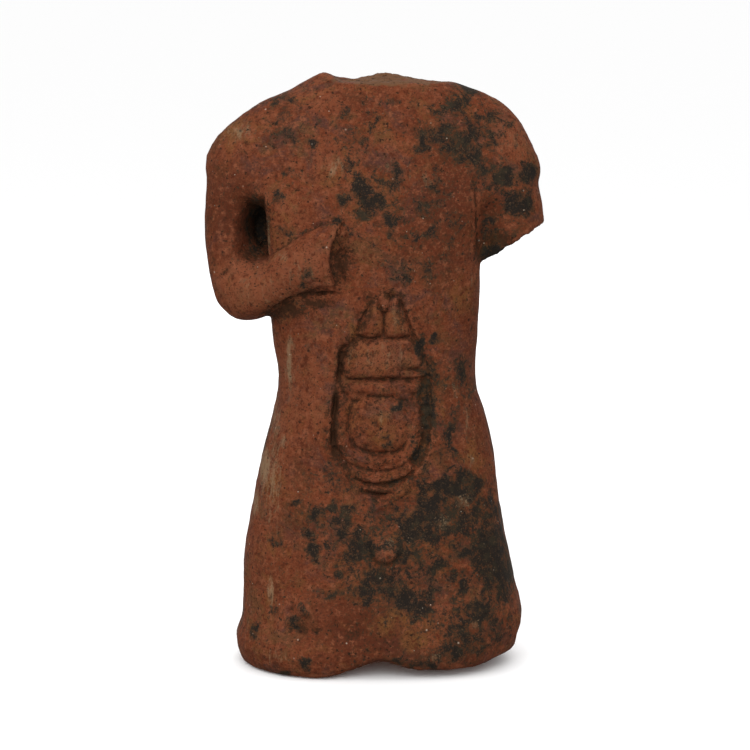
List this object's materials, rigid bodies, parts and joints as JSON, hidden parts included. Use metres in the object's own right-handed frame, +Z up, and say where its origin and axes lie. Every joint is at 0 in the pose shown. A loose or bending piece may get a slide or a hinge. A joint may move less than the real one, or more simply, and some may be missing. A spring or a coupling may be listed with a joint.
{
  "type": "terracotta votive torso",
  "caption": "Headless fired-clay standing figure in a long dress, a hand laid on the breast and the inner organs shown in low relief in an oval opening of the belly.",
  "frame": {"origin": "middle of the flat underside, below the figure's axis", "axes": "+Z up, the figure faces -Y, +X towards the viewer's right"},
  "size_m": [0.1372, 0.0764, 0.2396],
  "materials": {
    "terracotta": "matt, unglazed, worn, with dark and pale patches"
  },
  "bodies": {
    "root": {"torso": "terracotta"}
  },
  "joints": []
}
